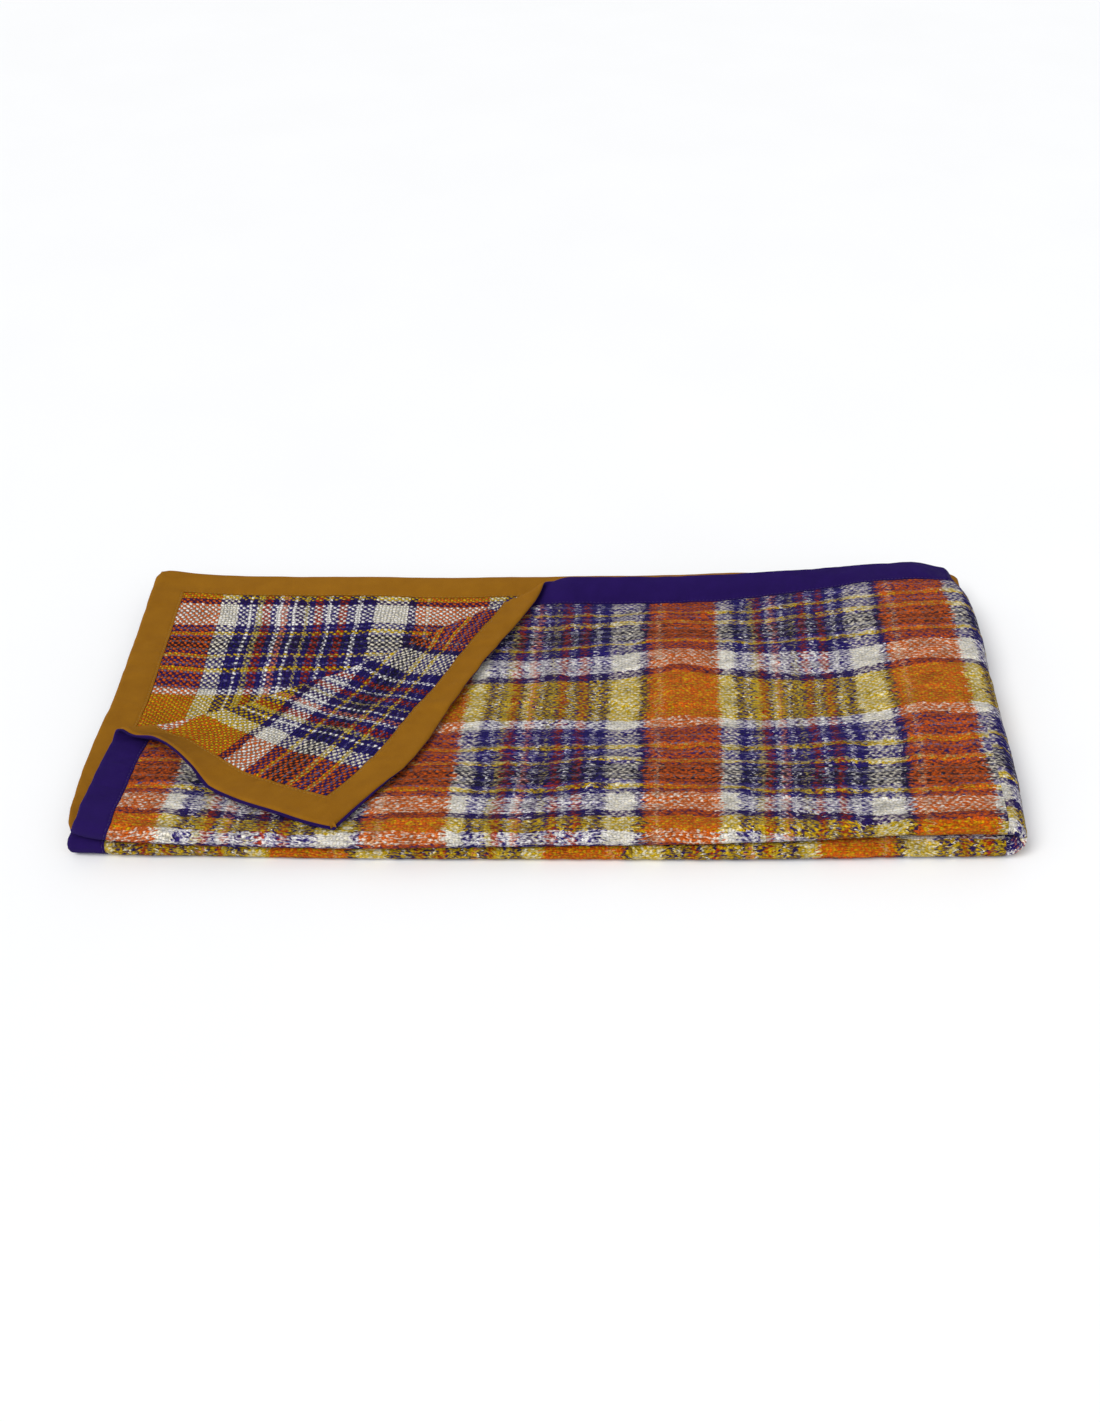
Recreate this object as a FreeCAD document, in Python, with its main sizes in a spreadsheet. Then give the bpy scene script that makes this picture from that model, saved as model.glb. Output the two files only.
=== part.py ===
import FreeCAD, Part
import os
import math
import Sketcher

# Camp blanket: one rectangular plaid cloth, bound all round with an indigo
# tape on its face and a mustard tape on its reverse. It is folded in half at
# the front (reverse inside) and in half again at the right, and the free
# corner of the top layer is turned back over it. Millimetres, +Z up, origin
# under the middle of the folded blanket. Layers from the floor up:
# W (face down), V (face up), U (face down), T (face up).

os.makedirs("parts", exist_ok=True)
doc = FreeCAD.newDocument("camp_blanket")
sheet = doc.addObject("Spreadsheet::Sheet", "dims")

CELLS = [
    ("half_length", 1028.0),   # left edge to the start of the right-hand fold
    ("half_width", 472.0),     # front of the roll to the back edge
    ("ply", 7.5),              # cloth thickness
    ("gap_front", 5.0),        # opening inside each front roll
    ("gap_middle", 6.0),       # opening between the two folded halves
    ("tape", 1.5),             # binding tape thickness, let into the cloth
    ("band", 41.0),            # bound border width
    ("stitch", 1.2),           # top-stitch width at the border's inner edge
    ("leg_end", 350.75),        # crease to corner, along the short edge
    ("leg_side", 533.5),       # crease to corner, along the long edge
    ("tuck", 14.0),            # cloth taken up in the loose roll of the crease
    ("ease", 0.15),            # clearance each side of the crease axis
    ("play", 0.30),            # clearance between turned corner and top layer
]


class Q:
    """A number together with the sheet expression that gives it."""

    def __init__(self, v, e):
        self.v = float(v)
        self.e = e

    def _mix(self, other, op, val):
        return Q(val, "(" + self.e + " " + op + " " + other.e + ")")

    def __add__(self, o):
        o = q(o)
        return self._mix(o, "+", self.v + o.v)

    def __radd__(self, o):
        return q(o) + self

    def __sub__(self, o):
        o = q(o)
        return self._mix(o, "-", self.v - o.v)

    def __rsub__(self, o):
        return q(o) - self

    def __mul__(self, o):
        o = q(o)
        return self._mix(o, "*", self.v * o.v)

    def __rmul__(self, o):
        return q(o) * self

    def __truediv__(self, o):
        o = q(o)
        return self._mix(o, "/", self.v / o.v)

    def __neg__(self):
        return q(0.0) - self


def q(x):
    if isinstance(x, Q):
        return x
    return Q(x, "%.6f" % x if x >= 0 else "(0 - %.6f)" % (-x))


def q_root(x):
    return Q(math.sqrt(x.v), "sqrt(" + x.e + ")")


C = {}
for i, (name, value) in enumerate(CELLS):
    cell = "A%d" % (i + 1)
    sheet.set(cell, "%g" % value)
    sheet.setAlias(cell, name)
    C[name] = Q(value, "dims." + name)
doc.recompute()

half_length, half_width, ply = C["half_length"], C["half_width"], C["ply"]
gap_front, gap_middle = C["gap_front"], C["gap_middle"]
tape, band, stitch = C["tape"], C["band"], C["stitch"]
leg_end, leg_side, tuck = C["leg_end"], C["leg_side"], C["tuck"]
ease, play = C["ease"], C["play"]

roll = ply + gap_front / 2              # outer radius of a front roll
half_stack = 2 * ply + gap_front        # height of one folded half
mid = half_stack + gap_middle / 2       # height of the right fold's axis
top = 2 * mid                           # top of the upper layer
total_x = half_length + mid
left = -(total_x / 2)
fold_x = left + half_length
back = half_width / 2
front = -back
roll_y = front + roll
slope = leg_end / leg_side
crease_len = q_root(leg_end * leg_end + leg_side * leg_side)
cos_c = leg_side / crease_len
sin_c = leg_end / crease_len
# The turned corner is the same triangle less the cloth in its loose roll.
flap_end = leg_end - 2 * tuck / cos_c
flap_side = leg_side - 2 * tuck / sin_c
flap_len = flap_side / cos_c
flap_start = 2 * tuck * slope           # from the crease's left end

NODES = []


def body_at(name, base=None, rotation=None):
    body = doc.addObject("PartDesign::Body", name)
    body.Label = name
    if base is not None:
        body.Placement = FreeCAD.Placement(
            FreeCAD.Vector(base[0].v, base[1].v, base[2].v),
            rotation if rotation is not None else FreeCAD.Rotation())
        for axis, val in zip("xyz", base):
            body.setExpression(".Placement.Base." + axis, val.e)
    NODES.append(body)
    return body


def sketch_in(body, role, name, lift=None):
    sk = body.newObject("Sketcher::SketchObject", name)
    plane = [o for o in body.Origin.OriginFeatures if o.Role == role][0]
    sk.AttachmentSupport = [(plane, "")]
    sk.MapMode = "FlatFace"
    if lift is not None:
        sk.AttachmentOffset = FreeCAD.Placement(
            FreeCAD.Vector(0, 0, lift.v), FreeCAD.Rotation())
        sk.setExpression(".AttachmentOffset.Base.z", lift.e)
    return sk


def pin(sk, geo, pos, which, val):
    if abs(val.v) < 1e-9:
        sk.addConstraint(Sketcher.Constraint(
            "PointOnObject", geo, pos, -2 if which == "X" else -1))
        return
    i = sk.addConstraint(Sketcher.Constraint(
        "Distance" + which, -1, 1, geo, pos, val.v))
    sk.setExpression("Constraints[%d]" % i, val.e)


def draw(sk, path):
    """Closed outline. path: corner points (x, y) as Q; a corner written
    (x, y, "arc", cx, cy, side) is joined to the next one by a half circle
    about (cx, cy) that bulges to -X (side -1) or to +X (side +1)."""
    n = len(path)
    ends = []
    centres = []
    for i in range(n):
        a, b = path[i], path[(i + 1) % n]
        pa = FreeCAD.Vector(a[0].v, a[1].v, 0)
        pb = FreeCAD.Vector(b[0].v, b[1].v, 0)
        if len(a) > 2:
            c = FreeCAD.Vector(a[3].v, a[4].v, 0)
            r = (pa - c).Length
            circle = Part.Circle(c, FreeCAD.Vector(0, 0, 1), r)
            if a[5] < 0:
                g = sk.addGeometry(Part.ArcOfCircle(
                    circle, math.pi / 2, 3 * math.pi / 2), False)
                ends.append((g, 1, 2) if pa.y > pb.y else (g, 2, 1))
            else:
                g = sk.addGeometry(Part.ArcOfCircle(
                    circle, -math.pi / 2, math.pi / 2), False)
                ends.append((g, 1, 2) if pa.y < pb.y else (g, 2, 1))
            centres.append((g, a[3]))
        else:
            g = sk.addGeometry(Part.LineSegment(pa, pb), False)
            ends.append((g, 1, 2))
    for i in range(n):
        g, s, e = ends[i]
        g2, s2, e2 = ends[(i + 1) % n]
        sk.addConstraint(Sketcher.Constraint("Coincident", g, e, g2, s2))
    for i in range(n):
        g, s, e = ends[i]
        pin(sk, g, s, "X", q(path[i][0]))
        pin(sk, g, s, "Y", q(path[i][1]))
    for g, cx in centres:
        pin(sk, g, 3, "X", q(cx))


def pad(body, sk, name, length, back_way=False):
    f = body.newObject("PartDesign::Pad", name)
    f.Profile = sk
    f.Length = length.v
    f.setExpression("Length", length.e)
    f.Reversed = back_way
    doc.recompute()
    return f


def pocket(body, sk, name, length, up):
    before = body.Shape.Volume
    f = body.newObject("PartDesign::Pocket", name)
    f.Profile = sk
    f.Length = length.v
    f.setExpression("Length", length.e)
    f.Reversed = up
    doc.recompute()
    if not body.Shape.Volume < before - 1.0:
        raise RuntimeError(name + " cuts nothing")
    return f


def ring(a, b, y_end, upper, z_off=0.0):
    """Section of a folded half between depths a and b below its outer skin."""
    if upper:
        zo_free, zo_in = top - a, mid + gap_middle / 2 + a
        zi_free, zi_in = top - b, mid + gap_middle / 2 + b
    else:
        zo_free, zo_in = q(a), half_stack - a
        zi_free, zi_in = q(b), half_stack - b
    zc = (top - roll) if upper else roll
    if z_off:
        zo_free, zo_in, zi_free, zi_in, zc = [
            z - z_off for z in (zo_free, zo_in, zi_free, zi_in, zc)]
    return [
        (y_end, zo_free),
        (roll_y, zo_free, "arc", roll_y, zc, -1),
        (roll_y, zo_in),
        (y_end, zo_in),
        (y_end, zi_in),
        (roll_y, zi_in, "arc", roll_y, zc, -1),
        (roll_y, zi_free),
        (y_end, zi_free),
    ]


zero = q(0.0)
inner_y = back - band
core_a, core_b = tape, ply - tape
skin_outer = (zero, tape)
skin_inner = (ply - tape, ply)

# Outline that takes the turned corner out of the top layer.
corner_cut = [
    (left - 20, back - leg_end - 20 * slope),
    (left + leg_side + 30, back + 30 * slope),
    (left - 20, back + 30 * slope),
]
# Outline that mitres a short-edge tape against the long-edge tape.
mitre_cut = [
    (left - 6, back + 6),
    (left + band, back - band),
    (left + band + 6, back - band),
    (left + band + 6, back + 6),
]


def cut_corner(body, tag):
    sk = sketch_in(body, "XY_Plane", tag + "_corner_outline", top + 5)
    draw(sk, corner_cut)
    pocket(body, sk, tag + "_corner_cut", 5 + ply + gap_front / 2, False)


def folded_cloth(name, upper):
    body = body_at(name, (left, zero, zero))
    sk = sketch_in(body, "YZ_Plane", name + "_core")
    draw(sk, ring(core_a, core_b, back, upper))
    pad(body, sk, name + "_core_pad", half_length)
    sk = sketch_in(body, "YZ_Plane", name + "_full", band)
    draw(sk, ring(zero, ply, inner_y, upper))
    pad(body, sk, name + "_full_pad", half_length - band)
    return body


def shift(path, dx, dy):
    return [tuple([p[0] - dx, p[1] - dy]) for p in path]


def cut_corner_local(body, tag):
    """Same cut for bodies whose own origin stands at the left edge."""
    sk = sketch_in(body, "XY_Plane", tag + "_corner_outline", top + 5)
    draw(sk, shift(corner_cut, left, zero))
    pocket(body, sk, tag + "_corner_cut", 5 + ply + gap_front / 2, False)


def mitre_local(body, tag, height):
    sk = sketch_in(body, "XY_Plane", tag + "_mitre_outline")
    draw(sk, shift(mitre_cut, left, zero))
    pocket(body, sk, tag + "_mitre_cut", height, True)


# --- upper half: layers T and U and the front roll between them
cloth_upper = folded_cloth("cloth_upper", True)
cut_corner_local(cloth_upper, "cloth_upper")

# --- lower half: layers V and W and the lower front roll
cloth_lower = folded_cloth("cloth_lower", False)


def end_tape(name, skin, upper, x0, width, mitred=True):
    """Tape (or stitching) along the short edge, round the front roll."""
    body = body_at(name, (left, zero, zero))
    sk = sketch_in(body, "YZ_Plane", name + "_section", x0)
    y_end = back
    draw(sk, ring(skin[0], skin[1], y_end, upper))
    pad(body, sk, name + "_pad", width)
    if upper:
        mitre_local(body, name, mid + gap_middle / 2 + ply + gap_front / 2)
        cut_corner_local(body, name)
    else:
        mitre_local(body, name, mid)
    return body


end_tape("tape_indigo_end_upper", skin_outer, True, zero, band - stitch)
end_tape("tape_mustard_end_upper", skin_inner, True, zero, band - stitch)
end_tape("tape_indigo_end_lower", skin_outer, False, zero, band - stitch)
end_tape("tape_mustard_end_lower", skin_inner, False, zero, band - stitch)
end_tape("stitch_face_end_upper", skin_outer, True, band - stitch, stitch)
end_tape("stitch_reverse_end_upper", skin_inner, True, band - stitch, stitch)
end_tape("stitch_face_end_lower", skin_outer, False, band - stitch, stitch)
end_tape("stitch_reverse_end_lower", skin_inner, False, band - stitch, stitch)


def side_strip(name, z_low, y0, y1, kind):
    """Flat strip along the back edge between depths y0 and y1 from it.
    kind "crease" starts at the turned corner, "mitre" at the mitred corner."""
    body = body_at(name, (zero, zero, z_low))
    if kind == "crease":
        xa = left + leg_side - y0 / slope
        xb = left + leg_side - y1 / slope
    else:
        xa = left + y0
        xb = left + y1
    sk = sketch_in(body, "XY_Plane", name + "_outline")
    draw(sk, [(xb, back - y1), (fold_x, back - y1),
              (fold_x, back - y0), (xa, back - y0)])
    pad(body, sk, name + "_pad", tape)
    return body


under_t = top - ply
base_u = mid + gap_middle / 2
base_v = ply + gap_front
bt = band - stitch
side_strip("tape_indigo_side_top", top - tape, zero, bt, "crease")
side_strip("tape_mustard_side_top", under_t, zero, bt, "crease")
side_strip("tape_mustard_side_second", base_u + ply - tape, zero, bt, "mitre")
side_strip("tape_indigo_side_second", base_u, zero, bt, "mitre")
side_strip("tape_indigo_side_third", base_v + ply - tape, zero, bt, "mitre")
side_strip("tape_mustard_side_third", base_v, zero, bt, "mitre")
side_strip("tape_mustard_side_bottom", ply - tape, zero, bt, "mitre")
side_strip("tape_indigo_side_bottom", zero, zero, bt, "mitre")
side_strip("stitch_face_side_top", top - tape, bt, band, "crease")
side_strip("stitch_reverse_side_top", under_t, bt, band, "crease")
side_strip("stitch_reverse_side_second", base_u + ply - tape, bt, band, "mitre")
side_strip("stitch_face_side_second", base_u, bt, band, "mitre")
side_strip("stitch_face_side_third", base_v + ply - tape, bt, band, "mitre")
side_strip("stitch_reverse_side_third", base_v, bt, band, "mitre")
side_strip("stitch_reverse_side_bottom", ply - tape, bt, band, "mitre")
side_strip("stitch_face_side_bottom", zero, bt, band, "mitre")


# --- right-hand fold: both front rolls and all four layers turn about one axis
def revolve(body, sk, name):
    f = body.newObject("PartDesign::Revolution", name)
    f.Profile = sk
    f.ReferenceAxis = (sk, ["H_Axis"])
    f.Angle = 180.0
    doc.recompute()
    return f


cloth_fold = body_at("cloth_fold", (fold_x, zero, mid))
sk = sketch_in(cloth_fold, "YZ_Plane", "cloth_fold_core")
draw(sk, ring(core_a, core_b, back, True, mid))
revolve(cloth_fold, sk, "cloth_fold_core_turn")
sk = sketch_in(cloth_fold, "YZ_Plane", "cloth_fold_full")
draw(sk, ring(zero, ply, inner_y, True, mid))
revolve(cloth_fold, sk, "cloth_fold_full_turn")


def fold_strip(name, r_in, r_out, y0, y1):
    body = body_at(name, (fold_x, zero, mid))
    sk = sketch_in(body, "YZ_Plane", name + "_section")
    draw(sk, [(back - y1, r_in), (back - y0, r_in),
              (back - y0, r_out), (back - y1, r_out)])
    revolve(body, sk, name + "_turn")
    return body


small = gap_middle / 2
fold_strip("tape_indigo_fold_outer", mid - tape, mid, zero, band)
fold_strip("tape_mustard_fold_outer", mid - ply, mid - ply + tape, zero, band)
fold_strip("tape_mustard_fold_inner", small + ply - tape, small + ply, zero, band)
fold_strip("tape_indigo_fold_inner", small, small + tape, zero, band)

# --- turned corner, drawn flat beside its crease and turned over about it.
# Own frame: X along the crease, Y away from the top layer, Z up when open.
crease_y = back - leg_end
crease_z = top + ease
yaw = math.degrees(math.atan2(leg_end.v, leg_side.v))
turned = FreeCAD.Rotation(yaw, 0.0, 180.0)
crease_base = (left + flap_start * cos_c, crease_y + flap_start * sin_c,
               crease_z)

E_x = band / cos_c
G_x = flap_len - band / sin_c
C_x = flap_end * sin_c
C_y = flap_end * cos_c + play
I_x = band * cos_c + (flap_end - band) * sin_c
I_y = (flap_end - band) * cos_c - band * sin_c + play
Et_x = bt / cos_c
Gt_x = flap_len - bt / sin_c
It_x = bt * cos_c + (flap_end - bt) * sin_c
It_y = (flap_end - bt) * cos_c - bt * sin_c + play


def flap_piece(name, outlines):
    body = body_at(name, crease_base, turned)
    for k, (outline, low, high) in enumerate(outlines):
        sk = sketch_in(body, "XY_Plane", "%s_outline_%d" % (name, k),
                       -(ease + ply) + low)
        draw(sk, outline)
        pad(body, sk, "%s_pad_%d" % (name, k), high - low)
    return body


flap_all = [(zero, play), (flap_len, play), (C_x, C_y)]
flap_cloth = [(E_x, play), (G_x, play), (I_x, I_y)]
flap_end = [(zero, play), (Et_x, play), (It_x, It_y), (C_x, C_y)]
flap_side = [(C_x, C_y), (It_x, It_y), (Gt_x, play), (flap_len, play)]
seam_end = [(Et_x, play), (E_x, play), (I_x, I_y), (It_x, It_y)]
seam_side = [(It_x, It_y), (I_x, I_y), (G_x, play), (Gt_x, play)]
low_skin = (zero, tape)
high_skin = (ply - tape, ply)
flap_piece("cloth_corner", [(flap_all, tape, ply - tape),
                            (flap_cloth, zero, ply)])
flap_piece("tape_mustard_end_corner", [(flap_end, low_skin[0], low_skin[1])])
flap_piece("tape_indigo_end_corner", [(flap_end, high_skin[0], high_skin[1])])
flap_piece("tape_mustard_side_corner", [(flap_side, low_skin[0], low_skin[1])])
flap_piece("tape_indigo_side_corner", [(flap_side, high_skin[0], high_skin[1])])
flap_piece("stitch_reverse_end_corner", [(seam_end, low_skin[0], low_skin[1])])
flap_piece("stitch_face_end_corner", [(seam_end, high_skin[0], high_skin[1])])
flap_piece("stitch_reverse_side_corner",
           [(seam_side, low_skin[0], low_skin[1])])
flap_piece("stitch_face_side_corner",
           [(seam_side, high_skin[0], high_skin[1])])


# --- crease roll: the cloth turning over between top layer and corner
def crease_piece(name, parts):
    body = body_at(name, crease_base, FreeCAD.Rotation(yaw, 0.0, 0.0))
    for k, (s0, s1, r_in, r_out) in enumerate(parts):
        sk = sketch_in(body, "YZ_Plane", "%s_section_%d" % (name, k), s0)
        draw(sk, [(zero, -r_out, "arc", zero, zero, 1),
                  (zero, r_out),
                  (zero, r_in, "arc", zero, zero, 1),
                  (zero, -r_in)])
        pad(body, sk, "%s_pad_%d" % (name, k), s1 - s0)
    return body


r_big = ply + ease
s_first = r_big * slope + 0.3
s_last = flap_len - r_big / slope - 0.3
crease_piece("cloth_crease", [(s_first, s_last, ease, r_big - tape),
                              (E_x, G_x, ease, r_big)])
crease_piece("tape_mustard_crease_end", [(s_first, E_x, r_big - tape, r_big)])
crease_piece("tape_mustard_crease_side", [(G_x, s_last, r_big - tape, r_big)])

doc.recompute()

bad = []
for obj in doc.Objects:
    if "Invalid" in obj.State or "Error" in obj.State:
        bad.append(obj.Name)
for body in NODES:
    shape = body.Shape
    if shape.isNull() or not shape.isValid() or len(shape.Solids) < 1:
        bad.append(body.Label)
if bad:
    raise RuntimeError("failed objects: " + ", ".join(bad))

for body in NODES:
    body.Shape.exportStep(os.path.join("parts", body.Label + ".step"))
    box = body.Shape.BoundBox
    print("%-28s vol %10.1f solids %d x %.1f..%.1f y %.1f..%.1f z %.2f..%.2f" % (
        body.Label, body.Shape.Volume, len(body.Shape.Solids),
        box.XMin, box.XMax, box.YMin, box.YMax, box.ZMin, box.ZMax))
print("nodes", len(NODES))
print("half fold axis x", fold_x.v, "z", mid.v, "crease at", left.v,
      crease_y.v, crease_z.v, "yaw", yaw)
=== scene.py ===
"""Camp blanket, folded: the looks. Metres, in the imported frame."""
import math
import bpy
import numpy as np
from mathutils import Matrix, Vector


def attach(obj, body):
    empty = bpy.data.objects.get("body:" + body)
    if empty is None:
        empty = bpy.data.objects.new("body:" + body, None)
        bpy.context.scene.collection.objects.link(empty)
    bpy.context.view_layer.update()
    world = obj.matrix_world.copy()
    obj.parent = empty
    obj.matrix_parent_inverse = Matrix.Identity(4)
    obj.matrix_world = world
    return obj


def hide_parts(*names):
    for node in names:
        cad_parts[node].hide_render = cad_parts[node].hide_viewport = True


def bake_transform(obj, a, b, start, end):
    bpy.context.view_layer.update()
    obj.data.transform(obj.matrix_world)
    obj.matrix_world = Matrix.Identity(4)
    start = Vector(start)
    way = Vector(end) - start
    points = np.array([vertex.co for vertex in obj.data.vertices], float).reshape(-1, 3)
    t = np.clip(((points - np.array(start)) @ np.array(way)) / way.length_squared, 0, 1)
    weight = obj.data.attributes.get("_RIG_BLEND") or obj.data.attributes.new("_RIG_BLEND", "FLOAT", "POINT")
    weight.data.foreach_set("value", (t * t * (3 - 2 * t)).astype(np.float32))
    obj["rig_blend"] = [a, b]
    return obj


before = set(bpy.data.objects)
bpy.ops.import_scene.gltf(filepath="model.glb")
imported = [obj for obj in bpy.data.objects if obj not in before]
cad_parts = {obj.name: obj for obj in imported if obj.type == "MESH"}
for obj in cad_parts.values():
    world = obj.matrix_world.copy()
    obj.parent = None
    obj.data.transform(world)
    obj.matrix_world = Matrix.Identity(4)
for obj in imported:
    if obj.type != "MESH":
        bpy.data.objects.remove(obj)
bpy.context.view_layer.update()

# ---------------------------------------------------------------- noise
def _hash(ix, iy, seed):
    h = (ix.astype(np.int64) * 374761393 + iy.astype(np.int64) * 668265263
         + int(seed) * 1442695041) & 0xFFFFFFFF
    h = (h ^ (h >> 13)) * 1274126177 & 0xFFFFFFFF
    h = h ^ (h >> 16)
    return (h & 0xFFFF) / 65535.0


def vnoise(x, y, seed):
    """Smooth value noise in -1..1."""
    x = np.asarray(x, float)
    y = np.asarray(y, float)
    ix, iy = np.floor(x), np.floor(y)
    fx, fy = x - ix, y - iy
    fx = fx * fx * fx * (fx * (fx * 6 - 15) + 10)
    fy = fy * fy * fy * (fy * (fy * 6 - 15) + 10)
    a = _hash(ix, iy, seed)
    b = _hash(ix + 1, iy, seed)
    c = _hash(ix, iy + 1, seed)
    d = _hash(ix + 1, iy + 1, seed)
    return 2 * ((a * (1 - fx) + b * fx) * (1 - fy)
                + (c * (1 - fx) + d * fx) * fy) - 1


def fbm(x, y, seed, octaves=3):
    out, amp, tot = 0.0, 1.0, 0.0
    for k in range(octaves):
        out = out + amp * vnoise(x * 2 ** k + 17.3 * k, y * 2 ** k - 9.1 * k, seed + k)
        tot += amp
        amp *= 0.5
    return out / tot


def step(x, a, b):
    t = np.clip((np.asarray(x, float) - a) / (b - a), 0, 1)
    return t * t * (3 - 2 * t)


def bump(x, c, w):
    return np.exp(-((np.asarray(x, float) - c) / w) ** 2)


# ---------------------------------------------------------------- the cloth
# Local millimetres: x from the left, y from the front, z from the floor.
# u runs along the length from the left short edge, v across the width from
# the back edge of the top layer.
OX, OY = 517.5, 236.0
BW = 41.0                      # bound border
WIDTH = 945.0                  # v range
U_F = 1008.0                   # u where the right-hand fold starts
ARC = 83.0                     # cloth taken by that fold at the top layer
LENGTH = 2111.0
HALF = 3.5                     # half the cloth's thickness


def front_roll_start(x):
    return 440.0 + 20.0 * step(x, 700, 950)


def lower_front(x):
    return 6.0 - 9.0 * (1 - ((x - 600.0) / 620.0) ** 2)


def r_low(x):
    return (6.0 + 1.6 * np.exp(-np.maximum(x, 0) / 70.0) - 1.0 * bump(x, 290, 150)
            + 1.6 * step(x, 700, 980) + 0.25 * vnoise(x / 60.0, x * 0, 5))


def r_up(x):
    return 7.3 + 0.5 * vnoise(x / 90.0, x * 0 + 3, 6) + 1.0 * step(x, 800, 1000)


def upper_front_centre(x):
    return (11.0 + 11.0 * step(x, 620, 1000) + 20.0 * np.exp(-np.maximum(x + 8, 0) / 34.0)
            - 3.5 * bump(x, 330, 190) + 1.2 * vnoise(x / 80.0, x * 0 + 7, 8))


def lower_front_centre(x):
    return lower_front(x) + r_low(x) + HALF


def z_upper_u(x):
    """Mid-height of layer U where it meets the front roll."""
    return 3.6 + 2 * r_low(x) + 7.4 + 1.5 * step(x, 600, 980)


def x_of(u, v):
    """Left-right place of the upper half's cloth."""
    v_r = front_roll_start(u)
    back = np.clip((v - v_r) / 480.0, 0, 1)          # 0 at the front, 1 at U's back
    y_t = np.clip(v_r - v, 0, 460)
    ul = np.interp(back * 483, [0, 50, 110, 165, 236, 292, 352, 415, 459, 500],
                   [4, -9, -16, -19, -20, -24, -30, -36, -39, -41])
    tl = np.interp(y_t, [0, 20, 60, 150, 460], [12, 9, 9, 12, 12])
    w = step(v, v_r - 4, v_r + 30)
    left = tl * (1 - w) + ul * w
    fade = 1 - step(u, 0, 420)
    x = u + 12.0 + (left - 12.0) * fade
    x = x + 2.2 * vnoise(u / 170.0, v / 150.0, 21) * step(u, 30, 200) * (1 - step(u, 900, 1000))
    return x


def z_top(u, v):
    """Mid-height of layer T against u and v."""
    v_r = front_roll_start(u)
    yt = v_r - v
    zf = z_upper_u(u) + 2 * r_up(u)
    rise = (3.0 * step(u, 120, 420) - 1.5
            + 12.0 * step(u, 650, 960) * (0.45 + 0.55 * step(yt, 40, 330)))
    body = zf + rise * step(yt, 0, 90)
    body = body - 2.0 * bump(yt, 250, 120) * bump(u, 780, 120)
    body = body + 5.0 * bump(u, 668, 46) * bump(yt, 285, 60)
    body = body + 4.0 * bump(u, 950, 55) * bump(yt, 190, 55)
    body = body - 3.0 * bump(u, 840, 60) * bump(yt, 230, 90)
    n = (2.4 * fbm(u / 140.0, v / 70.0, 31, 2) + 1.5 * fbm(u / 70.0, v / 21.0, 33, 2)
         + 0.8 * fbm(u / 26.0, v / 11.0, 36, 2))
    body = body + n * step(yt, 6, 60)
    # the bound back edge stands up a little, more so left of centre
    edge = 20.0 * step(u, 462, 516) * (1 - step(u, 690, 900))
    body = body + edge * (1 - step(v, 0, 52))
    body = body - (0.5 * step(u, 850, 990) + 11.0 * step(u, 962, 1014)) * (1 - step(v, 0, 70))
    # the left edge lifts towards the turned corner's roll
    body = body + 4.0 * bump(u, 0, 55) * bump(v, 300, 55)
    return body


def z_second(u, v):
    """Mid-height of layer U."""
    v_r = front_roll_start(u) + math.pi * 7.4
    yt = v - v_r
    z = z_upper_u(u) + (1.0 - 1.5 * step(u, 250, 0)) * step(yt, 0, 100)
    z = z + 9.0 * step(u, 640, 960) * step(yt, 20, 250)
    z = z + (1.5 * fbm(u / 120.0, v / 80.0, 41, 2) + 1.1 * fbm(u / 60.0, v / 17.0, 43, 2)) * step(yt, 5, 60)
    # waves of the exposed corner, and its lifted edges
    z = z + 1.6 * np.sin((yt - 0.25 * u) / 21.0) * bump(u, 95, 75) * bump(yt, 240, 110)
    z = z + 3.5 * step(v, 900, 945)
    z = z + 6.0 * bump(u, 0, 60) * bump(v, 945, 60)
    z = z + 2.0 * (1 - step(u, 0, 45)) * step(yt, 60, 250)
    return z


# ---- plan of the upper half by running along v at each u
V_GRID = np.concatenate([np.arange(0, 462, 2.0), np.arange(462, WIDTH + 1e-6, 3.0)])
U_TAB = np.arange(-4, 1012, 4.0)


def _tables():
    uu = U_TAB[:, None] + 0 * V_GRID[None, :]
    vv = V_GRID[None, :] + 0 * U_TAB[:, None]
    v_r = front_roll_start(U_TAB)[:, None]
    ru = r_up(U_TAB)[:, None]
    zt = z_top(uu, vv)
    zs = z_second(uu, vv)
    yt = np.zeros_like(uu)
    ys = np.zeros_like(uu)
    dv = np.diff(V_GRID)[None, :]
    dz = np.diff(zt, axis=1)
    dy = dv * np.sqrt(np.maximum(0.30, 1 - (dz / dv) ** 2))
    cum = np.concatenate([np.zeros((len(U_TAB), 1)), np.cumsum(dy, axis=1)], axis=1)
    # y falls along T: zero of the run at v_r
    at_r = np.array([np.interp(v_r[i, 0], V_GRID, cum[i]) for i in range(len(U_TAB))])[:, None]
    yc = upper_front_centre(U_TAB)[:, None]
    over = 20.0 * np.exp(-np.maximum(U_TAB + 8, 0) / 34.0)[:, None]
    yt = yc + (at_r - cum)
    yt = yt - over * step(at_r - cum, 8, 130)
    dz = np.diff(zs, axis=1)
    dy = dv * np.sqrt(np.maximum(0.30, 1 - (dz / dv) ** 2))
    cum = np.concatenate([np.zeros((len(U_TAB), 1)), np.cumsum(dy, axis=1)], axis=1)
    v_s = v_r + math.pi * ru
    at_s = np.array([np.interp(v_s[i, 0], V_GRID, cum[i]) for i in range(len(U_TAB))])[:, None]
    ys = yc + (cum - at_s)
    ys = ys - over * step(cum - at_s, 8, 330) - 3.0 * step(cum - at_s, 200, 480)
    return zt, yt, zs, ys


ZT, YT, ZS, YS = _tables()


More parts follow.
